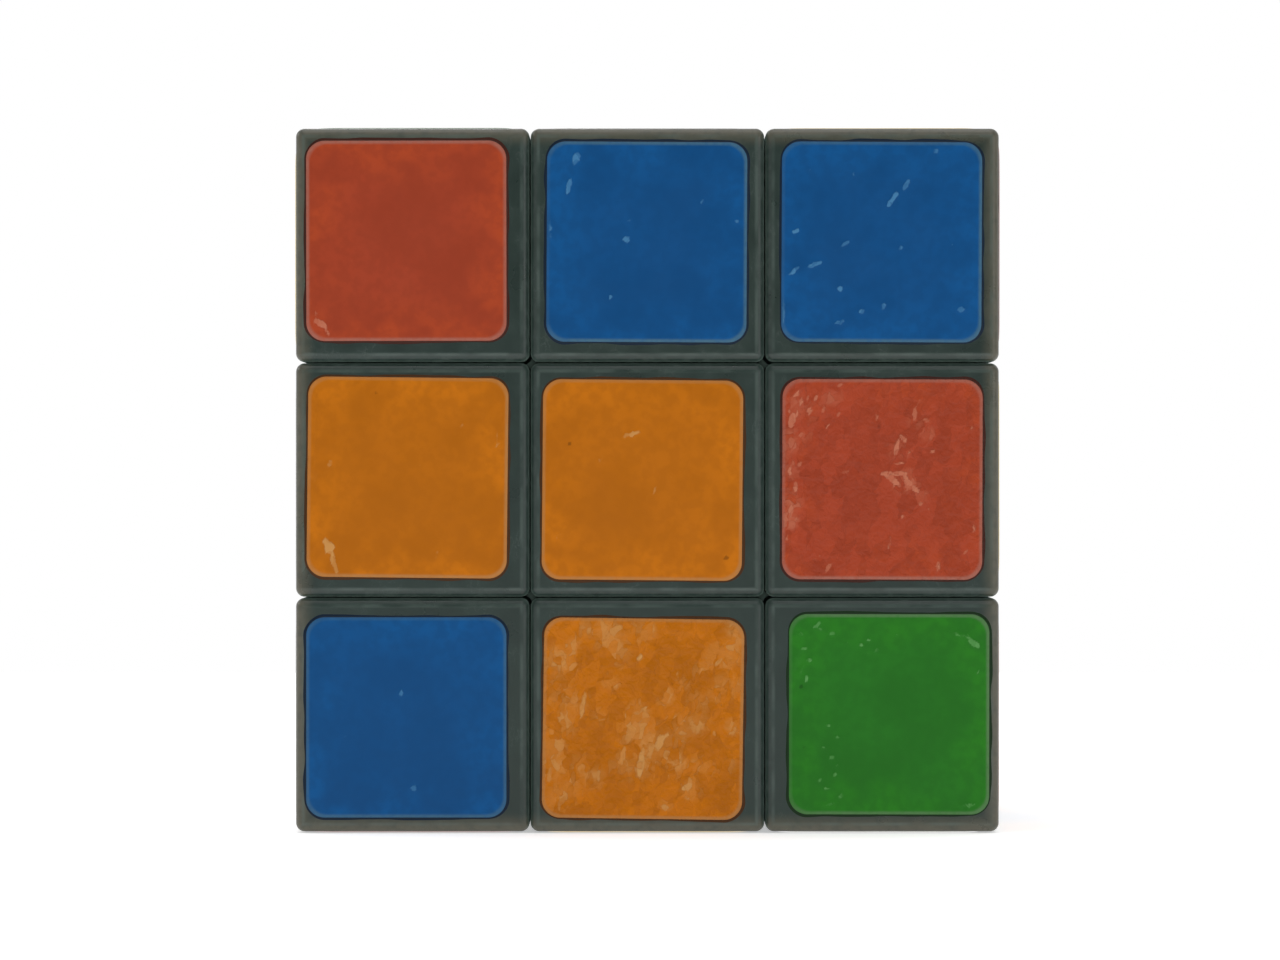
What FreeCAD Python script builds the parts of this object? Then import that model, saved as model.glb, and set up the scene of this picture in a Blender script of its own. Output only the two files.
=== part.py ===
import FreeCAD, Part
import itertools
import math
import os
import Sketcher

# Three-layer twisty cube puzzle, 57 mm along each side.
#
# A six-armed core carries a screw and a spring on every arm. Each screw holds a center, and the
# centers trap the feet of the edges, which trap the feet of the corners. The origin is the middle
# of the core, where the three turning axes cross: +X is right, -Y is the front and +Z is the top.
#
# Every face between two layers is flat, or lies on a sphere about the origin, so each of the six
# layers turns freely about its own axis.

SIZES = [
    ("pitch", 19.0, "distance between neighbouring pieces, a third of the cube"),
    ("gap", 0.1, "seam between the outer blocks of neighbouring pieces"),
    ("play", 0.25, "running clearance round the feet"),
    ("edge_round", 0.7, "rounding on the outer edges of each piece"),
    ("wall", 1.6, "wall of the hollow edges and corners"),
    ("foot_face", 6.0, "how near to each axis the side of a foot comes"),
    ("foot_outer", 20.0, "radius of the sphere that all the feet slide under"),
    ("foot_inner", 12.0, "radius of the hollow that the feet leave round the core"),
    ("hub_radius", 6.5, "ball in the middle of the core"),
    ("arm_radius", 4.2, "arm of the core"),
    ("arm_end", 12.0, "where an arm ends"),
    ("pilot_radius", 1.5, "screw hole in an arm"),
    ("pilot_floor", 3.4, "bottom of the screw hole, from the origin"),
    ("stalk_radius", 5.2, "round stalk under a center"),
    ("stalk_lift", 0.1, "clearance between a stalk and its arm"),
    ("bore_radius", 3.7, "bore in a center for the spring and the screw's head"),
    ("bore_floor", 14.5, "ledge in the bore that the spring presses on"),
    ("shaft_radius", 1.75, "hole in a center that the screw passes through"),
    ("recess_side", 14.5, "square recess in a center, under its cap"),
    ("recess_deep", 4.0, "depth of that recess"),
    ("recess_round", 1.0, "rounding in the corners of the recess"),
    ("cap_thick", 2.0, "plate of a center's cap"),
    ("skirt_play", 0.05, "clearance on each side of a cap's skirt"),
    ("skirt_wall", 1.35, "wall of the skirt"),
    ("skirt_deep", 2.5, "depth of the skirt"),
    ("screw_radius", 1.48, "shank of a screw, 3 mm thread"),
    ("screw_long", 16.0, "length of a screw under its head"),
    ("screw_tip", 3.5, "tip of a screw, from the origin"),
    ("head_radius", 3.2, "pan head of a screw"),
    ("head_high", 2.2, "height of the head"),
    ("head_crown", 0.8, "slope around the top of the head"),
    ("slot_wide", 0.9, "cross recess in the head"),
    ("slot_long", 3.6, "length of each arm of the cross recess"),
    ("slot_deep", 1.2, "depth of the cross recess"),
    ("spring_radius", 2.45, "mean radius of a spring"),
    ("spring_wire", 0.7, "wire of a spring"),
    ("spring_pitch", 1.2, "rise of a spring in one turn"),
    ("spring_play", 0.05, "clearance at each end of a spring"),
    ("label_side", 16.2, "side of a colour label"),
    ("label_round", 1.5, "rounding on a label's corners"),
    ("label_thick", 0.12, "thickness of a label"),
]

BLOCK = "(Sizes.pitch - Sizes.gap)"             # side of one piece
INSIDE = "(Sizes.pitch + Sizes.gap) / 2"        # inner face of an outer layer
OUTSIDE = "(1.5 * Sizes.pitch - Sizes.gap / 2)"     # outer face of the plastic
PAD_TOP = "(" + OUTSIDE + " - Sizes.cap_thick)"     # top of a center, under its cap
FOOT_NEAR = "(Sizes.foot_face + Sizes.play / 2)"    # foot faces that look at an axis
FOOT_HALF = "(Sizes.foot_face - Sizes.play / 2)"    # half the width of an edge's foot
FOOT_TOP = "(Sizes.foot_outer - Sizes.play / 2)"    # outer sphere of the feet
CLEAR_RADIUS = "(Sizes.foot_outer + Sizes.play / 2)"    # sphere that clears the feet
FOOT_UNDER = "(Sizes.foot_inner + Sizes.play / 2)"  # inner sphere of the feet
HEAD_UNDER = "(Sizes.screw_tip + Sizes.screw_long)"     # seat of a screw's head
OVERCUT = "1"                                   # how far a cut runs past the face it opens

DIRECTIONS = {
    "front": (0, -1, 0),
    "back": (0, 1, 0),
    "top": (0, 0, 1),
    "bottom": (0, 0, -1),
    "left": (-1, 0, 0),
    "right": (1, 0, 0),
}
UP = FreeCAD.Vector(0, 0, 1)
QUARTER_TURNS = [
    FreeCAD.Rotation(yaw, tilt, roll)
    for yaw, tilt, roll in itertools.product((0, 90, 180, 270), (0, 90, 180, 270), (0, 90))
]

doc = FreeCAD.newDocument("TwistyCube")
sheet = doc.addObject("Spreadsheet::Sheet", "Sizes")
for row, (alias, value, meaning) in enumerate(SIZES, start=1):
    sheet.set(f"A{row}", meaning)
    sheet.set(f"B{row}", str(value))
    sheet.setAlias(f"B{row}", alias)
doc.recompute()


def bind(obj, formulas):
    """Tie an object's sizes to the sheet."""
    for name, formula in formulas.items():
        obj.setExpression(name, formula)
    return obj


def at(x="0", y="0", z="0"):
    """Formulas for an object's position."""
    return {"Placement.Base.x": x, "Placement.Base.y": y, "Placement.Base.z": z}


def solid(kind, name, formulas):
    """A Part primitive tied to the sheet."""
    return bind(doc.addObject("Part::" + kind, name), formulas)


def ball(name, radius):
    """A sphere about the origin."""
    return solid("Sphere", name, {"Radius": radius})


def box(name, low, high):
    """A box between two corners, each given as three formulas."""
    sizes = {
        side: f"({top}) - ({bottom})"
        for side, bottom, top in zip(("Length", "Width", "Height"), low, high)
    }
    return solid("Box", name, sizes | at(*low))


def cut(name, base, tool):
    """One solid with another taken away."""
    result = doc.addObject("Part::Cut", name)
    result.Base = base
    result.Tool = tool
    return result


def joined(kind, name, pieces):
    """Several solids fused, or what they have in common."""
    result = doc.addObject("Part::" + kind, name)
    result.Shapes = pieces
    return result


def group(name, pieces):
    """Separate solids held as one sub-part."""
    result = doc.addObject("Part::Compound", name)
    result.Links = pieces
    return result


def feature(body, kind, name, formulas):
    """A PartDesign primitive in a body."""
    return bind(body.newObject("PartDesign::" + kind, name), formulas)


def sketch_in(body, name, plane):
    """An empty sketch on one of a body's own planes."""
    sketch = body.newObject("Sketcher::SketchObject", name)
    planes = [item for item in body.Origin.OriginFeatures if item.Role == plane]
    sketch.AttachmentSupport = (planes[0], [""])
    sketch.MapMode = "FlatFace"
    return sketch


def rounded_square(body, name, side, rounding, height):
    """A centred square with rounded corners, drawn at a height above the origin."""
    sketch = sketch_in(body, name, "XY_Plane")
    half = 8.0
    radius = 1.0
    inner = half - radius
    for quarter in range(4):
        turn = FreeCAD.Rotation(UP, 90 * quarter)
        start = turn.multVec(FreeCAD.Vector(-inner, -half, 0))
        end = turn.multVec(FreeCAD.Vector(inner, -half, 0))
        center = turn.multVec(FreeCAD.Vector(inner, -inner, 0))
        circle = Part.Circle(center, UP, radius)
        last = quarter * math.pi / 2
        sketch.addGeometry(Part.LineSegment(start, end), False)
        sketch.addGeometry(Part.ArcOfCircle(circle, last - math.pi / 2, last), False)
    for quarter in range(4):
        line = 2 * quarter
        arc = line + 1
        after = (line + 2) % 8
        sketch.addConstraint(Sketcher.Constraint("Tangent", line, 2, arc, 1))
        sketch.addConstraint(Sketcher.Constraint("Tangent", arc, 2, after, 1))
    sketch.addConstraint(Sketcher.Constraint("Horizontal", 0))
    sketch.addConstraint(Sketcher.Constraint("Vertical", 2))
    sketch.addConstraint(Sketcher.Constraint("Horizontal", 4))
    sketch.addConstraint(Sketcher.Constraint("Vertical", 6))
    for arc in (3, 5, 7):
        sketch.addConstraint(Sketcher.Constraint("Equal", 1, arc))
    sketch.addConstraint(Sketcher.Constraint("Equal", 0, 2))
    sketch.addConstraint(Sketcher.Constraint("Symmetric", 1, 3, 5, 3, -1, 1))
    width = sketch.addConstraint(Sketcher.Constraint("DistanceX", 6, 1, 2, 1, 2 * half))
    corner = sketch.addConstraint(Sketcher.Constraint("Radius", 1, radius))
    sketch.setExpression(f"Constraints[{width}]", side)
    sketch.setExpression(f"Constraints[{corner}]", rounding)
    sketch.setExpression("AttachmentOffset.Base.z", height)
    return sketch


def profile(body, name, points):
    """A closed outline in a body's XZ plane, from (radius, height) formulas and starting sizes."""
    sketch = sketch_in(body, name, "XZ_Plane")
    for (_, start), (_, end) in zip(points, points[1:] + points[:1]):
        sketch.addGeometry(Part.LineSegment(FreeCAD.Vector(*start), FreeCAD.Vector(*end)), False)
    for index, ((radius, height), (across, up)) in enumerate(points):
        before = (index - 1) % len(points)
        sketch.addConstraint(Sketcher.Constraint("Coincident", before, 2, index, 1))
        if across == 0:
            sketch.addConstraint(Sketcher.Constraint("PointOnObject", index, 1, -2))
        else:
            place = sketch.addConstraint(Sketcher.Constraint("DistanceX", -1, 1, index, 1, across))
            sketch.setExpression(f"Constraints[{place}]", radius)
        place = sketch.addConstraint(Sketcher.Constraint("DistanceY", -1, 1, index, 1, up))
        sketch.setExpression(f"Constraints[{place}]", height)
    return sketch


def pad(body, name, sketch, length):
    """A sketch pushed out along +Z."""
    result = body.newObject("PartDesign::Pad", name)
    result.Profile = sketch
    result.setExpression("Length", length)
    return result


def rounded(body, name, base, edges):
    """Outer edges broken with the puzzle's rounding."""
    doc.recompute()
    result = body.newObject("PartDesign::Fillet", name)
    result.Base = (base, edges)
    result.setExpression("Radius", "Sizes.edge_round")
    return result


def cubie(name, x, y, z):
    """The outer block of one piece, rounded all round, with its middle at x, y, z."""
    body = doc.addObject("PartDesign::Body", name)
    corner = [f"({place}) - {BLOCK} / 2" for place in (x, y, z)]
    bind(body, at(*corner))
    sizes = {"Length": BLOCK, "Width": BLOCK, "Height": BLOCK}
    block = feature(body, "AdditiveBox", name + "_block", sizes)
    rounded(body, name + "_rounding", block, [f"Face{face}" for face in range(1, 7)])
    return body


def foot(name, low, high):
    """The part of a box that lies in the shell where the feet slide."""
    reach = joined("MultiCommon", name + "_reach", [box(name + "_box", low, high), foot_sphere])
    return cut(name, reach, core_sphere)


def make_core():
    """Hub with six arms, each with a blind pilot hole for its screw."""
    hub = ball("core_hub", "Sizes.hub_radius")
    arm = solid("Cylinder", "core_arm", {"Radius": "Sizes.arm_radius", "Height": "Sizes.arm_end"})
    sizes = {"Radius": "Sizes.pilot_radius", "Height": "Sizes.arm_end"}
    pilot = solid("Cylinder", "core_pilot", sizes | at(z="Sizes.pilot_floor"))
    arms = [placed(f"core_arm_{side}", arm, UP, way) for side, way in DIRECTIONS.items()]
    pilots = [placed(f"core_pilot_{side}", pilot, UP, way) for side, way in DIRECTIONS.items()]
    spider = joined("MultiFuse", "core_spider", [hub] + arms)
    return cut("core", spider, joined("MultiFuse", "core_pilots", pilots))


def make_center():
    """Square pad with a round stalk, hollowed by a sphere below and a stepped bore above."""
    body = doc.addObject("PartDesign::Body", "center_master")
    half = BLOCK + " / 2"
    block = feature(
        body,
        "AdditiveBox",
        "center_block",
        {"Length": BLOCK, "Width": BLOCK, "Height": PAD_TOP + " - " + INSIDE}
        | at("-" + half, "-" + half, INSIDE),
    )
    doc.recompute()
    upright = [
        f"Edge{number}"
        for number, edge in enumerate(block.Shape.Edges, start=1)
        if edge.BoundBox.ZLength > edge.BoundBox.XLength + edge.BoundBox.YLength
    ]
    rounded(body, "center_rounding", block, upright)
    feature(body, "SubtractiveSphere", "center_hollow", {"Radius": CLEAR_RADIUS})
    stalk_foot = "(Sizes.arm_end + Sizes.stalk_lift)"
    stalk = {"Radius": "Sizes.stalk_radius", "Height": f"{PAD_TOP} - Sizes.recess_deep - {stalk_foot}"}
    feature(body, "AdditiveCylinder", "center_stalk", stalk | at(z=stalk_foot))
    recess_floor = f"({PAD_TOP} - Sizes.recess_deep)"
    recess = body.newObject("PartDesign::Pocket", "center_recess")
    recess.Profile = rounded_square(
        body, "center_recess_outline", "Sizes.recess_side", "Sizes.recess_round", recess_floor
    )
    recess.Reversed = True
    recess.setExpression("Length", "Sizes.recess_deep + " + OVERCUT)
    bore = {"Radius": "Sizes.bore_radius", "Height": PAD_TOP + " - Sizes.bore_floor"}
    feature(body, "SubtractiveCylinder", "center_bore", bore | at(z="Sizes.bore_floor"))
    shaft = {"Radius": "Sizes.shaft_radius", "Height": "Sizes.bore_floor"}
    feature(body, "SubtractiveCylinder", "center_shaft_hole", shaft | at(z="Sizes.bore_floor / 2"))
    return body


def make_cap():
    """Plate that closes a center, with a square skirt that plugs into the recess."""
    body = doc.addObject("PartDesign::Body", "cap_master")
    half = BLOCK + " / 2"
    plate = feature(
        body,
        "AdditiveBox",
        "cap_plate",
        {"Length": BLOCK, "Width": BLOCK, "Height": "Sizes.cap_thick"}
        | at("-" + half, "-" + half, PAD_TOP),
    )
    doc.recompute()
    above = [
        f"Edge{number}"
        for number, edge in enumerate(plate.Shape.Edges, start=1)
        if edge.BoundBox.ZMax > plate.Shape.BoundBox.Center.z
    ]
    rounded(body, "cap_rounding", plate, above)
    skirt_foot = f"({PAD_TOP} - Sizes.skirt_deep)"
    skirt_side = "(Sizes.recess_side - 2 * Sizes.skirt_play)"
    outline = rounded_square(body, "cap_skirt_outline", skirt_side, "Sizes.recess_round", skirt_foot)
    pad(body, "cap_skirt", outline, "Sizes.skirt_deep")
    hollow = body.newObject("PartDesign::Pocket", "cap_hollow")
    hollow_side = f"({skirt_side} - 2 * Sizes.skirt_wall)"
    hollow.Profile = rounded_square(
        body, "cap_hollow_outline", hollow_side, "Sizes.recess_round", skirt_foot
    )
    hollow.Reversed = True
    hollow.setExpression("Length", "Sizes.skirt_deep")
    return body


def make_edge():
    """Edge piece between the back and the top, with a foot under both of those centers."""
    block = cubie("edge_cubie", "0", "Sizes.pitch", "Sizes.pitch")
    neck = box(
        "edge_neck", ("-" + FOOT_HALF, "0", "0"), (FOOT_HALF, "Sizes.foot_outer", "Sizes.foot_outer")
    )
    scoop = cut("edge_scoop", clear_sphere, neck)
    low = ("-" + FOOT_HALF, FOOT_NEAR, FOOT_NEAR)
    high = (FOOT_HALF, "Sizes.foot_outer", "Sizes.foot_outer")
    outer = cut("edge_outer", block, scoop)
    solid_edge = joined("MultiFuse", "edge_solid", [outer, foot("edge_foot", low, high)])
    inset = "Sizes.wall"
    half = f"({BLOCK} / 2 - {inset})"
    near = f"({INSIDE} + {inset})"
    far = f"({OUTSIDE} - {inset})"
    inner = box("edge_inner", ("-" + half, near, near), (half, far, far))
    lining = ball("edge_lining", f"{CLEAR_RADIUS} + {inset}")
    return cut("edge_master", solid_edge, cut("edge_cavity", inner, lining))


def make_corner():
    """Corner piece between the back, the top and the right, with a three-sided foot."""
    block = cubie("corner_cubie", "Sizes.pitch", "Sizes.pitch", "Sizes.pitch")
    low = (FOOT_NEAR,) * 3
    high = ("Sizes.foot_outer",) * 3
    solid_corner = joined("MultiFuse", "corner_solid", [block, foot("corner_foot", low, high)])
    near = f"({INSIDE} + Sizes.wall)"
    far = f"({OUTSIDE} - Sizes.wall)"
    return cut("corner_master", solid_corner, box("corner_cavity", (near,) * 3, (far,) * 3))


def make_screw():
    """Pan-headed screw with a cross recess, turned as one piece about its axis."""
    body = doc.addObject("PartDesign::Body", "screw_master")
    head_top = f"({HEAD_UNDER} + Sizes.head_high)"
    outline = profile(
        body,
        "screw_outline",
        [
            (("0", "Sizes.screw_tip"), (0, 3)),
            (("Sizes.screw_radius", "Sizes.screw_tip"), (1, 3)),
            (("Sizes.screw_radius", HEAD_UNDER), (1, 19)),
            (("Sizes.head_radius", HEAD_UNDER), (3, 19)),
            (("Sizes.head_radius", f"{head_top} - Sizes.head_crown"), (3, 20)),
            (("Sizes.head_radius - Sizes.head_crown", head_top), (2, 21)),
            (("0", head_top), (0, 21)),
        ],
    )
    turned = body.newObject("PartDesign::Revolution", "screw_turned")
    turned.Profile = outline
    turned.ReferenceAxis = (outline, ["V_Axis"])
    turned.Angle = 360
    wide = "Sizes.slot_wide"
    long = "Sizes.slot_long"
    for name, along, across in (("x", long, wide), ("y", wide, long)):
        sizes = {"Length": along, "Width": across, "Height": "Sizes.slot_deep + " + OVERCUT}
        corner = at(f"-{along} / 2", f"-{across} / 2", head_top + " - Sizes.slot_deep")
        feature(body, "SubtractiveBox", "screw_recess_" + name, sizes | corner)
    return body


def make_spring():
    """Compression spring between the ledge in a center and the head of its screw."""
    body = doc.addObject("PartDesign::Body", "spring_master")
    sketch = sketch_in(body, "spring_section", "XZ_Plane")
    sketch.addGeometry(Part.Circle(FreeCAD.Vector(2, 15, 0), UP, 0.3), False)
    margin = "(Sizes.spring_wire / 2 + Sizes.spring_play)"
    sizes = [
        (Sketcher.Constraint("Radius", 0, 0.3), "Sizes.spring_wire / 2"),
        (Sketcher.Constraint("DistanceX", -1, 1, 0, 3, 2), "Sizes.spring_radius"),
        (Sketcher.Constraint("DistanceY", -1, 1, 0, 3, 15), "Sizes.bore_floor + " + margin),
    ]
    for constraint, formula in sizes:
        sketch.setExpression(f"Constraints[{sketch.addConstraint(constraint)}]", formula)
    doc.recompute()
    coil = body.newObject("PartDesign::AdditiveHelix", "spring_coil")
    coil.Profile = sketch
    coil.ReferenceAxis = (sketch, ["V_Axis"])
    coil.Mode = "pitch-height-angle"
    coil.setExpression("Pitch", "Sizes.spring_pitch")
    coil.setExpression("Height", f"{HEAD_UNDER} - Sizes.bore_floor - 2 * {margin}")
    return body


def make_label():
    """Thin square label on the top face of the middle piece."""
    body = doc.addObject("PartDesign::Body", "label_master")
    outline = rounded_square(body, "label_outline", "Sizes.label_side", "Sizes.label_round", OUTSIDE)
    pad(body, "label_pad", outline, "Sizes.label_thick")
    return body


def placed(name, master, home, place, shift=None):
    """A copy of a master, turned from its home direction to a place round the cube."""
    home = FreeCAD.Vector(*home)
    place = FreeCAD.Vector(*place)
    turn = next(turn for turn in QUARTER_TURNS if turn.multVec(home).isEqual(place, 1e-9))
    copy = group(name, [master])
    copy.Placement = FreeCAD.Placement(FreeCAD.Vector(), turn)
    if shift:
        bind(copy, at(*[f"{steps} * Sizes.pitch" for steps in shift]))
    return copy


def side_names(place):
    """The sides that a place belongs to, such as front, top and left."""
    return [
        name for name, way in DIRECTIONS.items() if sum(a * b for a, b in zip(place, way)) == 1
    ]


def labels_for(name, place):
    """One label on each outer face of the piece at a place."""
    labels = []
    for side in side_names(place):
        way = DIRECTIONS[side]
        shift = [step - normal for step, normal in zip(place, way)]
        labels.append(placed(f"{name}_{side}", label_master, UP, way, shift))
    return group(name, labels)


foot_sphere = ball("foot_sphere", FOOT_TOP)
core_sphere = ball("core_sphere", FOOT_UNDER)
clear_sphere = ball("clear_sphere", CLEAR_RADIUS)
center_master = make_center()
cap_master = make_cap()
edge_master = make_edge()
corner_master = make_corner()
screw_master = make_screw()
spring_master = make_spring()
label_master = make_label()

sub_parts = [make_core()]
hardware = []
for side, way in DIRECTIONS.items():
    hardware.append(placed(f"screw_{side}", screw_master, UP, way))
    hardware.append(placed(f"spring_{side}", spring_master, UP, way))
sub_parts.append(group("tension_screws_and_springs", hardware))

for place in itertools.product((-1, 0, 1), repeat=3):
    name = "_".join(side_names(place))
    faces = len(side_names(place))
    if faces == 1:
        sub_parts.append(placed("center_" + name, center_master, UP, place))
        sub_parts.append(placed("center_cap_" + name, cap_master, UP, place))
        sub_parts.append(labels_for("label_center_" + name, place))
    if faces == 2:
        sub_parts.append(placed("edge_" + name, edge_master, (0, 1, 1), place))
        sub_parts.append(labels_for("labels_edge_" + name, place))
    if faces == 3:
        sub_parts.append(placed("corner_" + name, corner_master, (1, 1, 1), place))
        sub_parts.append(labels_for("labels_corner_" + name, place))

doc.recompute()
for item in doc.Objects:
    faults = {"Invalid", "Error"} & set(item.State)
    assert not faults, f"{item.Name} failed to build: {item.State}"

os.makedirs("parts", exist_ok=True)
for piece in sub_parts:
    assert not piece.Shape.isNull() and piece.Shape.isValid(), piece.Label
    piece.Shape.exportStep(f"parts/{piece.Label}.step")
    print(piece.Label, len(piece.Shape.Solids), round(piece.Shape.Volume, 1))
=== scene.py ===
import itertools
import math

import bpy
import numpy as np
from mathutils import Matrix, Vector


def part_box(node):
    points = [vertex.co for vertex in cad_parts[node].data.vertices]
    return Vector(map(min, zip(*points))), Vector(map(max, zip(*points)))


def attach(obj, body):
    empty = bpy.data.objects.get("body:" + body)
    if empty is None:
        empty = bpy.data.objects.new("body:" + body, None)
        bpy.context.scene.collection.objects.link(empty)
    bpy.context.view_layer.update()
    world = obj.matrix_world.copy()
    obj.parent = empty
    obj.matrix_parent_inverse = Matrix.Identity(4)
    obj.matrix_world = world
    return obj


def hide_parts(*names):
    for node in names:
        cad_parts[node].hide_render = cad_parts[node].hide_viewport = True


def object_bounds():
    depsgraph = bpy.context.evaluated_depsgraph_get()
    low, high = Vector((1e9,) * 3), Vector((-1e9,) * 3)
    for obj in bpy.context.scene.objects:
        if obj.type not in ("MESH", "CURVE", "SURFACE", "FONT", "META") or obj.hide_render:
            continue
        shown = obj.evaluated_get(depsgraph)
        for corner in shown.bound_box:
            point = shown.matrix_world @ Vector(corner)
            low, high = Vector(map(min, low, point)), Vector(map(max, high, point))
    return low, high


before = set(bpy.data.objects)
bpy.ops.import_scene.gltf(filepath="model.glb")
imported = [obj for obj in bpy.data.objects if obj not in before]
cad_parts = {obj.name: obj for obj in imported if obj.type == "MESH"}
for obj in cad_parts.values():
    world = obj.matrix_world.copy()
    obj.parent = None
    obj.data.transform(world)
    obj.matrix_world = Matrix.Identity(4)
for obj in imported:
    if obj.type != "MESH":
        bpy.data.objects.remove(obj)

# A worn three-layer twisty cube. The plastic and metal pieces are the CAD nodes, and each of the 54
# vinyl labels is a piece of its own, with its own place, wrinkles, flakes and scratches.
# Labels and patterns are worked out in millimetres. What Blender holds is in metres.

MM = 0.001
PITCH = 19.0            # from the middle of one piece to the middle of the next
LABEL_SIDE = 16.2
LABEL_ROUND = 1.5       # radius of a label's corners
VINYL = 0.075           # how thick a label is where it lies flat
VINYL_TOP = 0.118       # how high its wrinkles may stand
GLUE = 0.24             # how far the old glue under a label shows around it
GLUE_THICK = 0.02

cad_low, cad_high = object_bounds()
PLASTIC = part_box("center_cap_right")[1].x / MM      # from the cube's middle to its plastic faces
FLOOR = cad_low.z                                   # in metres

# ---------------------------------------------------------------- places and colours

DIRECTIONS = {
    "front": (0, -1, 0),
    "back": (0, 1, 0),
    "top": (0, 0, 1),
    "bottom": (0, 0, -1),
    "left": (-1, 0, 0),
    "right": (1, 0, 0),
}
SOLVED = {
    "front": "orange",
    "back": "red",
    "top": "white",
    "bottom": "yellow",
    "left": "blue",
    "right": "green",
}
TURNED_BY = {"F": "front", "B": "back", "U": "top", "D": "bottom", "L": "left", "R": "right"}
SCRAMBLE = "F R' D2 B F' U L' U2"


def dot(a, b):
    return sum(p * q for p, q in zip(a, b))


def quarter_turn(point, axis):
    """A place or direction, a quarter turn on about an axis."""
    moved = Vector(axis).cross(Vector(point)) + Vector(axis) * dot(axis, point)
    return tuple(round(c) for c in moved)


def side_names(place):
    """The sides that a place belongs to, such as front, top and left."""
    return [name for name, way in DIRECTIONS.items() if dot(place, way) == 1]


def scrambled():
    """The colour of each label, by place and side, after the moves in SCRAMBLE on a solved cube."""
    colours = {
        (place, DIRECTIONS[side]): SOLVED[side]
        for place in itertools.product((-1, 0, 1), repeat=3)
        for side in side_names(place)
    }
    for move in SCRAMBLE.split():
        axis = DIRECTIONS[TURNED_BY[move[0]]]
        quarters = {"2": 2, "'": 1}.get(move[1:], 3)
        for _ in range(quarters):
            colours = {
                tuple(quarter_turn(v, axis) for v in spot) if dot(spot[0], axis) == 1 else spot: colour
                for spot, colour in colours.items()
            }
    return colours


def body_name(place):
    kind = ("center", "edge", "corner")[len(side_names(place)) - 1]
    return kind + "_" + "_".join(side_names(place))


# ---------------------------------------------------------------- node trees


class Shader:
    """The node tree of a material or a world, built one node at a time."""

    def __init__(self, owner):
        owner.use_nodes = True
        self.owner = owner
        self.tree = owner.node_tree

    def give(self, socket, value):
        if isinstance(value, bpy.types.NodeSocket):
            self.tree.links.new(value, socket)
        else:
            socket.default_value = value

    def add(self, kind, inputs, output=0, **settings):
        node = self.tree.nodes.new("ShaderNode" + kind)
        for name, value in settings.items():
            setattr(node, name, value)
        for socket, value in inputs.items():
            self.give(node.inputs[socket], value)
        return node.outputs[output]

    def math(self, operation, a, b=0.0):
        return self.add("Math", {0: a, 1: b}, operation=operation)

    def vector(self, operation, a, b=(0.0, 0.0, 0.0)):
        return self.add("VectorMath", {0: a, 1: b}, operation=operation)

    def scaled(self, vector, factor):
        return self.add("VectorMath", {0: vector, 3: factor}, operation="SCALE")

    def axis(self, vector, number):
        return self.add("SeparateXYZ", {0: vector}, output=number)

    def product(self, first, *others):
        for other in others:
            first = self.math("MULTIPLY", first, other)
        return first

    def millimetres(self):
        """Where the shaded point is, in the cube's own millimetres."""
        return self.scaled(self.add("TexCoord", {}, output=3), 1 / MM)

    def largest(self, vector):
        """The largest and the second largest of a vector's parts, whatever their signs."""
        positive = self.vector("ABSOLUTE", vector)
        x, y, z = (self.axis(positive, number) for number in range(3))
        low, high = self.math("MINIMUM", x, y), self.math("MAXIMUM", x, y)
        return self.math("MAXIMUM", high, z), self.math("MAXIMUM", low, self.math("MINIMUM", high, z))

    def noise(self, where, scale, detail=3.0, w=0.0):
        """Smooth noise from 0 to 1, with features about 1 / scale apart, and w to make it differ."""
        inputs = {"Vector": where, "Scale": scale, "Detail": detail, "W": w}
        return self.add("TexNoise", inputs, noise_dimensions="4D")

    def step(self, value, low, high, bottom=0.0, top=1.0):
        """A smooth step from bottom to top as value goes from low to high."""
        inputs = {"Value": value, "From Min": low, "From Max": high, "To Min": bottom, "To Max": top}
        return self.add("MapRange", inputs, interpolation_type="SMOOTHSTEP")

    def mix(self, amount, a, b):
        """A colour between a and b, by amount."""
        return self.add("Mix", {0: amount, 6: a, 7: b}, output=2, data_type="RGBA")

    def attribute(self, name):
        return self.add("Attribute", {}, output=2, attribute_name=name)

    def bump(self, height, millimetres, strength, under=None):
        """Relief as high as so many millimetres where height is 1, on top of other relief."""
        inputs = {"Height": height, "Distance": millimetres * MM, "Strength": strength}
        if under is not None:
            inputs["Normal"] = under
        return self.add("Bump", inputs)

    def cells(self, where, scale):
        """Two random values from 0 to 1 for each cell of a broken-up surface."""
        colour = self.add("TexVoronoi", {"Vector": where, "Scale": scale}, output=1)
        return self.axis(colour, 0), self.axis(colour, 1)

    def finish(self, **inputs):
        surface = self.tree.nodes["Principled BSDF"]
        for name, value in inputs.items():
            self.give(surface.inputs[name.replace("_", " ")], value)
        return self.owner


def new_material(name):
    return Shader(bpy.data.materials.new(name))


def rgb(colour, share=1.0):
    """A colour, or a share of its brightness."""
    return (*[share * c for c in colour], 1.0)


# Where the plastic is worn, dusty, or painted with a highlight line, as (begins, is full), in millimetres.
# The first three are from the middle of a piece towards its edges, the fourth is from the middle of the
# cube towards its edges, and the depths are below the cube's outer faces.
CHIPPED = (8.75, 9.3)
LINE_INSIDE = (8.6, 8.8)        # a thin pale line runs between these two, a painted highlight along the rounded edges
LINE_OUTSIDE = (9.05, 8.85)
CORNERS_RUBBED = (PLASTIC - 1.7, PLASTIC - 0.1)
DUST_DEPTH = (0.18, 0.6)
DUST_AND_LIGHT_DEPTH = (0.42, 0.85)     # dust lies thick at the bottom of the seams, and is painted paler still there as painted light
CLEAN_DEPTH = (5.0, 2.0)        # and ends further in

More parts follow.
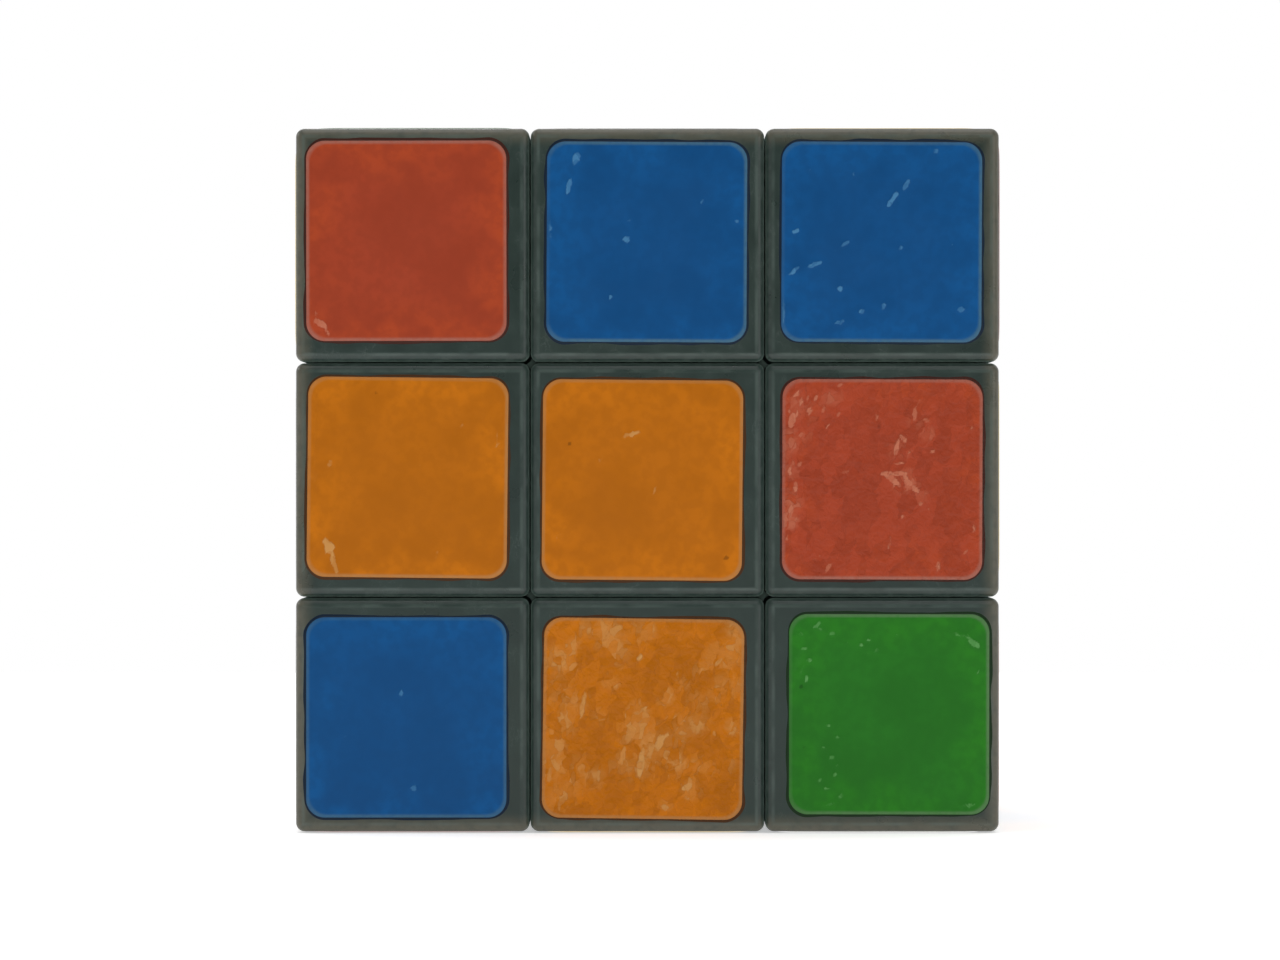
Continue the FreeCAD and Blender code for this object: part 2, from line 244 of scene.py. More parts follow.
# How much each kind of wear covers what is under it, and how much the painted highlight line and the paler
# seams do.
CHIPS_COVER = 0.3
SCRATCHES_COVER = 0.35
CORNERS_COVER = 0.75
LINE_COVERS = 0.45
DUST_COVERS = (0.6, 0.9)
DUST_AND_LIGHT_COVERS = 0.8

DUST_AND_LIGHT_TONE = 2.6               # times that of thin dust, this much paler as painted light in the seams
PALEST = 0.8                    # and no paler than this

# How high relief is, in millimetres.
GRAIN_HEIGHT = 0.008
SCRATCH_DEPTH = 0.02
DRAWING_HEIGHT = 0.01           # lines in drawn steel
SWELL_HEIGHT = 0.03
BUCKLE_HEIGHT = 0.5
FLAKE_HEIGHT = 0.06


def plastic(name, colour, worn_and_highlight, rubbed, dust_and_light_tone, roughness):
    """Moulded plastic: fine grain, chipped and rubbed edges, a painted highlight line along each piece's
    edges, hairline scratches, dust in the seams, and a paler tone at their bottom painted as light.
    """
    s = new_material(name)
    where = s.millimetres()
    # which piece of the 27 the point is on, as a number of its own, and how near the piece's edges
    cell = s.vector("SNAP", s.vector("ADD", where, (PITCH / 2,) * 3), (PITCH,) * 3)
    piece = s.add("VectorMath", {0: cell, 1: (0.37, 0.73, 0.19)}, output=1, operation="DOT_PRODUCT")
    _, beside = s.largest(s.vector("SUBTRACT", where, cell))
    # how deep it is inside the cube, and how near the cube's edges
    outermost, second = s.largest(where)
    depth = s.math("SUBTRACT", PLASTIC, outermost)
    cloud = s.noise(where, 0.35, 4.0, piece)
    grain = s.noise(where, 5.0, 2.0, piece)
    fine = s.noise(where, 1.6, 3.0, piece)
    uneven = s.noise(where, 0.5, 2.0, piece)
    brushed = s.noise(s.vector("MULTIPLY", where, (1.9, 0.22, 1.1)), 1.0, 3.0, piece)

    chips = s.product(s.step(beside, *CHIPPED), s.step(fine, 0.46, 0.72))
    hairline = s.math("ABSOLUTE", s.math("SUBTRACT", brushed, 0.5))
    scratch = s.product(s.step(hairline, 0.012, 0.0), s.step(cloud, 0.5, 0.62))
    corners = s.product(s.step(second, *CORNERS_RUBBED), s.step(fine, 0.2, 0.6, 0.6, 1.0))
    # a thin pale line along each piece's rounded edges, painted on as a highlight
    line = s.product(s.step(beside, *LINE_INSIDE), s.step(beside, *LINE_OUTSIDE))
    line = s.product(line, s.step(uneven, 0.35, 0.65, 0.2, 1.0))
    dust = s.product(s.step(depth, *DUST_DEPTH), s.step(fine, 0.25, 0.65, *DUST_COVERS))
    # at the bottom of the seams: dust, and a paler tone painted there as light in their shade
    dust_and_light = s.product(s.step(depth, *DUST_AND_LIGHT_DEPTH, 0.0, DUST_AND_LIGHT_COVERS), s.step(depth, *CLEAN_DEPTH))

    tone = s.mix(s.step(cloud, 0.3, 0.7), rgb(colour, 0.88), rgb(colour, 1.12))
    tone = s.mix(s.product(chips, CHIPS_COVER), tone, rgb(worn_and_highlight))
    tone = s.mix(s.product(scratch, SCRATCHES_COVER), tone, rgb(worn_and_highlight))
    tone = s.mix(s.product(corners, CORNERS_COVER), tone, rgb(rubbed))
    # the painted highlight along the edges, paler than the worn tone
    tone = s.mix(s.product(line, LINE_COVERS), tone, rgb(worn_and_highlight, 1.25))
    tone = s.mix(dust, tone, rgb(dust_and_light_tone))
    # dust and painted light at the bottom of the seams
    tone = s.mix(dust_and_light, tone, rgb([min(PALEST, DUST_AND_LIGHT_TONE * c) for c in dust_and_light_tone]))
    gloss = s.math("ADD", s.step(cloud, 0.25, 0.75, roughness, roughness + 0.12), s.product(chips, 0.15))
    gloss = s.math("ADD", gloss, s.product(dust, 0.3))
    relief = s.bump(grain, GRAIN_HEIGHT, 0.4)
    relief = s.bump(s.product(scratch, -1.0), SCRATCH_DEPTH, 0.5, relief)
    return s.finish(Base_Color=tone, Roughness=gloss, Normal=relief)


LABEL_SPECULAR = 0.12
DARK_RING = (0.005, 0.006, 0.005)   # added to a share of the ink, for a dark ring on the old glue around a label

# Where things are on a label, as its "reach": 0 in the middle, 1 at the edge, and more on the glue.
STRONG_INK = (0.4, 0.97)
# the cut edge, in a tone of its own with a painted highlight along it
CUT_EDGE_AND_HIGHLIGHT = (0.955, 0.985)
GLUE_BEGINS = (1.002, 1.006)
ON_GLUE = 1.01

# Tones of ink, as shares of its own. The darker and lighter facets of a crumpled label are painted shade
# and painted light.
BLOTCHES = (0.91, 1.05)
SPECKLES = 0.86
SHADED_FACETS = 0.83
LIT_FACETS = 1.24
STAINS = 0.3


def strengthened(colour):
    """An ink near a label's edges, where its weak parts are weaker and its strong ones stronger."""
    return [min(0.74, part * (0.9 if part < 0.1 * max(colour) else 1.22)) for part in colour]


def vinyl(name, colour, pale, rim):
    """Printed vinyl: blotchy ink, stronger towards the edges, whitened flakes, painted glints, painted
    shade and light on crumpled facets, and a cut edge of its own tone with a painted highlight.

    It reads the labels' own attributes: "grain" is a place on the label, "reach" is how near that is
    to the edge, "loose" is how loose the vinyl is there, "crumple" is how wrinkled the whole label is,
    "pale" and "dark" are the marks, a few pale ones painted glints, and "rim" is how strong the cut edge's
    own tone and its painted highlight are.
    """
    s = new_material(name)
    where = s.add("Attribute", {}, output=1, attribute_name="grain")
    reach = s.attribute("reach")
    blotch = s.noise(where, 0.13, 1.0)
    patch = s.noise(where, 0.33, 1.5)
    fine = s.noise(where, 2.6, 3.0)
    mottle = s.math("ADD", s.product(blotch, 0.7), s.product(patch, 0.3))
    speckle = s.step(s.noise(where, 1.1, 4.0), 0.38, 0.62, 0.0, 0.5)

    # a crumpled label is broken into facets, wide and narrow; narrow ones are painted darker as shade, and
    # wide ones lighter as light
    bend = s.add("TexNoise", {"Vector": where, "Scale": 1.1, "Detail": 1.5}, output=1)
    bent = s.vector("ADD", where, s.scaled(bend, 0.9))
    wide, _ = s.cells(s.vector("MULTIPLY", bent, (0.6, 1.0, 1.0)), 0.85)
    narrow, tone = s.cells(s.vector("MULTIPLY", bent, (0.55, 1.0, 1.0)), 2.0)
    crumpled = s.step(s.attribute("crumple"), 0.08, 0.75, 0.0, 0.55)
    shaded_facet = s.product(crumpled, s.step(narrow, 0.4, 0.95))
    lit_facet = s.product(crumpled, s.step(wide, 0.4, 0.9))

    # flakes lie where the vinyl is loose, and the marks are scratches and nicks, with a few painted glints
    broken = s.math("ADD", s.product(wide, 0.5), s.product(narrow, 0.55))
    ragged = s.product(s.math("SUBTRACT", fine, 0.5), 0.5)
    loose = s.attribute("loose")
    torn = s.math("ADD", s.math("ADD", loose, s.math("SUBTRACT", broken, 0.525)), ragged)
    torn = s.product(torn, s.step(loose, 0.04, 0.25))
    pale_spot = s.product(s.step(torn, 0.33, 0.74), s.step(tone, 0.0, 1.0, 0.1, 0.68))
    faint = s.step(torn, 0.1, 0.55, 0.0, 0.2)
    # pale marks: scratches, nicks and creases, and a few painted glints
    pale_mark = s.math("ADD", s.attribute("pale"), s.product(s.math("SUBTRACT", tone, 0.5), 0.3))
    pale_mark = s.step(s.math("ADD", pale_mark, s.product(ragged, 1.6)), 0.25, 0.6)
    pale_mark = s.product(pale_mark, s.step(narrow, 0.0, 1.0, 0.5, 1.0))
    pale_spot = s.math("MAXIMUM", s.math("MAXIMUM", pale_spot, faint), pale_mark)
    stain = s.step(s.attribute("dark"), 0.2, 0.8, 0.0, 0.6)
    # the cut edge's own tone, and a painted highlight where it catches the light
    cut = s.product(s.step(reach, *CUT_EDGE_AND_HIGHLIGHT), s.step(fine, 0.3, 0.6, 0.7, 1.0), s.attribute("rim"))
    glow = s.product(s.step(reach, *STRONG_INK), s.step(patch, 0.36, 0.64, 0.15, 1.0))
    on_glue = s.step(reach, *GLUE_BEGINS)

    ink = s.mix(s.step(mottle, 0.38, 0.62), *[rgb(colour, share) for share in BLOTCHES])
    ink = s.mix(glow, ink, rgb(strengthened(colour)))
    ink = s.mix(speckle, ink, rgb(colour, SPECKLES))
    # painted shade on narrow facets, and painted light on wide ones
    ink = s.mix(shaded_facet, ink, rgb(colour, SHADED_FACETS))
    ink = s.mix(lit_facet, ink, rgb(colour, LIT_FACETS))
    ink = s.mix(pale_spot, ink, rgb(pale))
    ink = s.mix(stain, ink, rgb(colour, STAINS))
    ink = s.mix(cut, ink, rgb(rim))
    ink = s.mix(on_glue, ink, rgb([min(0.05, 0.12 * c) + g for c, g in zip(colour, DARK_RING)]))
    gloss = s.math("ADD", s.step(patch, 0.3, 0.7, 0.3, 0.38), s.product(pale_spot, 0.2))
    relief = s.bump(s.noise(where, 0.9, 1.0), SWELL_HEIGHT, 0.2)
    relief = s.bump(fine, GRAIN_HEIGHT, 0.4, relief)
    buckle = s.math("ADD", s.noise(bent, 1.3, 2.0), s.product(narrow, 0.12))
    relief = s.bump(s.product(crumpled, buckle), BUCKLE_HEIGHT, 0.9, relief)
    relief = s.bump(pale_spot, FLAKE_HEIGHT, 0.7, relief)
    s.finish(Specular_IOR_Level=LABEL_SPECULAR)
    return s.finish(Base_Color=ink, Roughness=gloss, Normal=relief)


def metal(name, colour):
    """Zinc-plated steel with faint drawing lines and dull spots."""
    s = new_material(name)
    where = s.millimetres()
    spots = s.noise(where, 1.2, 4.0)
    lines = s.noise(s.vector("MULTIPLY", where, (9.0, 9.0, 0.6)), 1.0, 2.0)
    tone = s.mix(s.step(spots, 0.45, 0.7), rgb(colour), rgb(colour, 0.6))
    gloss = s.step(spots, 0.3, 0.7, 0.22, 0.45)
    s.finish(Metallic=1.0)
    return s.finish(Base_Color=tone, Roughness=gloss, Normal=s.bump(lines, DRAWING_HEIGHT, 0.4))


# Each ink: its own tone, the tone of its flakes, scratches and painted glints, and that of its cut edge,
# which carries a painted highlight.
INKS = {
    "red": ((0.249, 0.0366, 0.0149), (0.37, 0.115, 0.064), (0.258, 0.0929, 0.0662)),
    "orange": ((0.333, 0.0965, 0.0029), (0.411, 0.198, 0.0565), (0.315, 0.138, 0.0404)),
    "blue": ((0.00374, 0.0516, 0.16), (0.0404, 0.145, 0.282), (0.0404, 0.101, 0.154)),
    "green": ((0.0133, 0.113, 0.00998), (0.0727, 0.226, 0.0606), (0.063, 0.138, 0.0533)),
    "yellow": ((0.62, 0.41, 0.011), (0.71, 0.58, 0.22), (0.54, 0.4, 0.1)),
    "white": ((0.70, 0.70, 0.665), (0.76, 0.76, 0.74), (0.47, 0.47, 0.43)),
}
vinyls = {colour: vinyl("vinyl_" + colour, *tones) for colour, tones in INKS.items()}
black = plastic(
    "black_plastic",
    colour=(0.0105, 0.0215, 0.0175),
    worn_and_highlight=(0.052, 0.072, 0.063),
    rubbed=(0.086, 0.077, 0.052),
    dust_and_light_tone=(0.090, 0.128, 0.110),
    roughness=0.26,
)
pale_plastic = plastic(
    "core_plastic",
    colour=(0.66, 0.66, 0.62),
    worn_and_highlight=(0.80, 0.80, 0.77),
    rubbed=(0.74, 0.74, 0.70),
    dust_and_light_tone=(0.60, 0.60, 0.57),
    roughness=0.42,
)
steel = metal("zinc_steel", (0.70, 0.71, 0.72))

# ---------------------------------------------------------------- labels

LATTICE = 64            # random values each way, after which the noise repeats
EVEN_TICKS = 0.965      # rows of points are evenly spaced up to here, where 1 is a label's edge,
BEVEL_TICKS = (0.98, 0.993)     # and these follow
EDGE_FALL = 0.03        # share of its reach over which a label gets thinner towards its edge
EDGE_HEIGHT = 0.45      # its thickness there, as a share of VINYL
SWELLS = ((0.10, 3.1), (0.06, 1.3))     # how much a label swells, and how far apart
FLAT_LIFT = 0.15        # how far a label stands up towards VINYL_TOP where it is flat,
MARK_LIFT = 0.6         # under a mark,
WRINKLE_LIFT = 0.95     # and in a wrinkle


def value_noise(x, y, cell, seed):
    """Smooth noise between -1 and 1, with features about a cell across."""
    lattice = np.random.default_rng(seed).uniform(-1, 1, (LATTICE, LATTICE))
    column, row = np.floor(x / cell).astype(int), np.floor(y / cell).astype(int)
    across, up = x / cell - column, y / cell - row
    across, up = across**2 * (3 - 2 * across), up**2 * (3 - 2 * up)
    corner = [[lattice[(column + i) % LATTICE, (row + j) % LATTICE] for j in (0, 1)] for i in (0, 1)]
    left, right = (low * (1 - up) + high * up for low, high in corner)
    return left * (1 - across) + right * across


def turned(x, y, tilt):
    """Distances along and beside a direction that is tilted by so many degrees from x."""
    c, s = math.cos(math.radians(tilt)), math.sin(math.radians(tilt))
    return x * c + y * s, y * c - x * s


def mark_field(x, y, marks, seed):
    """How strongly each point lies in one of the marks, with ragged outlines."""
    ragged = 0.55 * value_noise(x, y, 0.35, seed) + 0.35 * value_noise(x, y, 0.9, seed + 1)
    field = np.zeros_like(x)
    for across, up, length, width, tilt, strength in marks:
        along, beside = turned(x - across, y - up, tilt)
        distance = (2 * along / length) ** 2 + (2 * beside / width) ** 2
        field = np.maximum(field, strength * np.clip(1.5 + ragged - distance, 0, 1))
    return field


def patch_field(x, y, wrinkles, seed):
    """How loose the vinyl is, from 0 to 1, where the patches are."""
    strength, _, _, patches = wrinkles
    mask = np.zeros_like(x)
    for across, up, radius in patches:
        mask = np.maximum(mask, np.exp(-((x - across) ** 2 + (y - up) ** 2) / radius**2))
    return strength * mask * (0.8 + 0.45 * value_noise(x, y, 2.5, seed + 3))


def wrinkle_field(x, y, wrinkles, seed):
    """Ridges of loose vinyl, from 0 to 1: long ones, and smaller ones between them."""
    _, tilt, spacing, _ = wrinkles
    along, beside = turned(x, y, tilt)
    bent = beside + 0.7 * spacing * value_noise(along, beside, 2.2 * spacing, seed)
    ridges = 1 - 2.6 * np.abs(value_noise(along / 2.6, bent, spacing, seed + 1))
    small = 1 - 2.6 * np.abs(value_noise(along / 1.8, bent, 0.45 * spacing, seed + 2))
    height = 0.75 * np.clip(ridges, 0, 1) + 0.45 * np.clip(small, 0, 1)
    return patch_field(x, y, wrinkles, seed) * np.clip(height, 0, 1)


def rounded(across, up, half, radius):
    """Moves points of a square, from -1 to 1 each way, into a square with rounded corners."""
    reach = np.maximum(np.maximum(np.abs(across), np.abs(up)), 1e-9)
    near = np.minimum(np.abs(across), np.abs(up)) / reach
    straight = 1 - radius / half
    angle = np.clip((near - straight) / (1 - straight), 0, 1) * math.pi / 4
    far_side = half - radius + radius * np.cos(angle)
    near_side = np.where(near > straight, half - radius + radius * np.sin(angle), near * half)
    wide = np.abs(across) >= np.abs(up)
    x = np.sign(across) * reach * np.where(wide, far_side, near_side)
    y = np.sign(up) * reach * np.where(wide, near_side, far_side)
    return x, y, reach


def label_points(cells):
    """A label's grid: how many points a side, where each is in a square from -1 to 1, and in truth."""
    bevel = np.array(BEVEL_TICKS)
    middle = np.linspace(-EVEN_TICKS, EVEN_TICKS, cells)
    ticks = np.concatenate([[-1], -bevel[::-1], middle, bevel, [1]])
    across, up = (grid.ravel() for grid in np.meshgrid(ticks, ticks, indexing="ij"))
    return len(ticks), across, up, *rounded(across, up, LABEL_SIDE / 2, LABEL_ROUND)


def border(count):
    """The numbers of the points round the edge of a grid, anticlockwise from a corner."""
    last = count - 1
    ring = [i * count for i in range(last)] + [last * count + i for i in range(last)]
    return ring + [i * count + last for i in range(last, 0, -1)] + list(range(last, 0, -1))


def glue_rings(outline, seed):
    """Rings of points from a label's outline out over the old glue, and down to the plastic."""
    along = np.roll(outline, -1, 0) - np.roll(outline, 1, 0)
    outward = np.stack([along[:, 1], -along[:, 0]], 1) / np.linalg.norm(along, axis=1)[:, None]
    wide = GLUE * (0.75 + 0.4 * value_noise(outline[:, 0], outline[:, 1], 1.7, seed))[:, None]
    steps = [(0.0, GLUE_THICK), (0.75, GLUE_THICK), (1.0, 0.4 * GLUE_THICK), (1.0, 0.0)]
    return [
        np.column_stack([outline + share * wide * outward, np.full(len(outline), height)])
        for share, height in steps
    ]


def label_faces(count, ring, more):
    """A grid of faces on top, bands from its border to more rings of points, and one face below."""
    faces = [
        (i * count + j, (i + 1) * count + j, (i + 1) * count + j + 1, i * count + j + 1)
        for i in range(count - 1)
        for j in range(count - 1)
    ]
    around = len(ring)
    first = count * count
    rings = [ring] + [range(first + i * around, first + (i + 1) * around) for i in range(more)]
    for inner, outer in zip(rings, rings[1:]):
        for k in range(around):
            after = (k + 1) % around
            faces.append((inner[after], inner[k], outer[k], outer[after]))
    return faces + [tuple(reversed(rings[-1]))]


def label_mesh(name, cells, marks, wrinkles, rim_sides, seed):
    """A thin closed label in its own frame: x to the right, y up and z out of the cube."""
    count, across, up, x, y, reach = label_points(cells)
    # pale marks: scratches, nicks and creases, and a few painted glints
    pale_field = mark_field(x, y, [m for m in marks if m[5] > 0], seed)
    stained = mark_field(x, y, [(*m[:5], -m[5]) for m in marks if m[5] < 0], seed + 2)
    loose = wrinkle_field(x, y, wrinkles, seed + 4)
    swell = sum(high * value_noise(x, y, far, seed + 8 + i) for i, (high, far) in enumerate(SWELLS))
    lift = np.clip(FLAT_LIFT + swell + MARK_LIFT * pale_field + WRINKLE_LIFT * loose, 0, 1)
    inside = np.clip((1 - reach) / EDGE_FALL, 0, 1) ** 0.5
    z = VINYL * (EDGE_HEIGHT + (1 - EDGE_HEIGHT) * inside) + (VINYL_TOP - VINYL) * lift * inside
    top = np.stack([x, y, z], 1)
    ring = border(count)
    glue = glue_rings(top[ring][:, :2], seed + 5)
    faces = label_faces(count, ring, len(glue))
    mesh = bpy.data.meshes.new(name)
    mesh.from_pydata((np.concatenate([top, *glue]) * MM).tolist(), [], faces)
    mesh.polygons.foreach_set("use_smooth", [True] * (len(faces) - 1) + [False])

    left, right, below, above = rim_sides
    flat_on = across**8 / np.maximum(across**8 + up**8, 1e-9)
    rim = flat_on * np.where(x > 0, right, left) + (1 - flat_on) * np.where(y > 0, above, below)
    spare = np.zeros(len(glue) * len(ring))
    fields = {
        "pale": np.concatenate([pale_field, spare]),
        "loose": np.concatenate([patch_field(x, y, wrinkles, seed), spare]),
        "dark": np.concatenate([stained, spare]),
        "crumple": np.full(len(top) + len(spare), wrinkles[0]),
        "reach": np.concatenate([reach, spare + ON_GLUE]),
        "rim": np.concatenate([rim, spare]),
    }
    for field, values in fields.items():
        mesh.attributes.new(field, "FLOAT", "POINT").data.foreach_set("value", values.astype(np.float32))
    grain = np.stack([*turned(x, y, wrinkles[1]), z], 1)
    grain = np.concatenate([grain, np.tile(grain[ring], (len(glue), 1))]) + (0, 0, 31.0 * seed)
    mesh.attributes.new("grain", "FLOAT_VECTOR", "POINT").data.foreach_set(
        "vector", grain.astype(np.float32).ravel()
    )
    return mesh


def label_frame(place, side, shift, turn):
    """Where a label sits on its piece, with its own right and up as seen from outside."""
    normal = Vector(DIRECTIONS[side])
    up = Vector((0, 1, 0)) if abs(normal.z) == 1 else Vector((0, 0, 1))
    right = up.cross(normal)
    middle = Vector(place) * PITCH
    middle += normal * (PLASTIC - middle.dot(normal)) + right * shift[0] + up * shift[1]
    axes = Matrix((right, up, normal)).transposed().to_4x4()
    return Matrix.Translation(middle * MM) @ axes @ Matrix.Rotation(math.radians(-turn), 4, "Z")


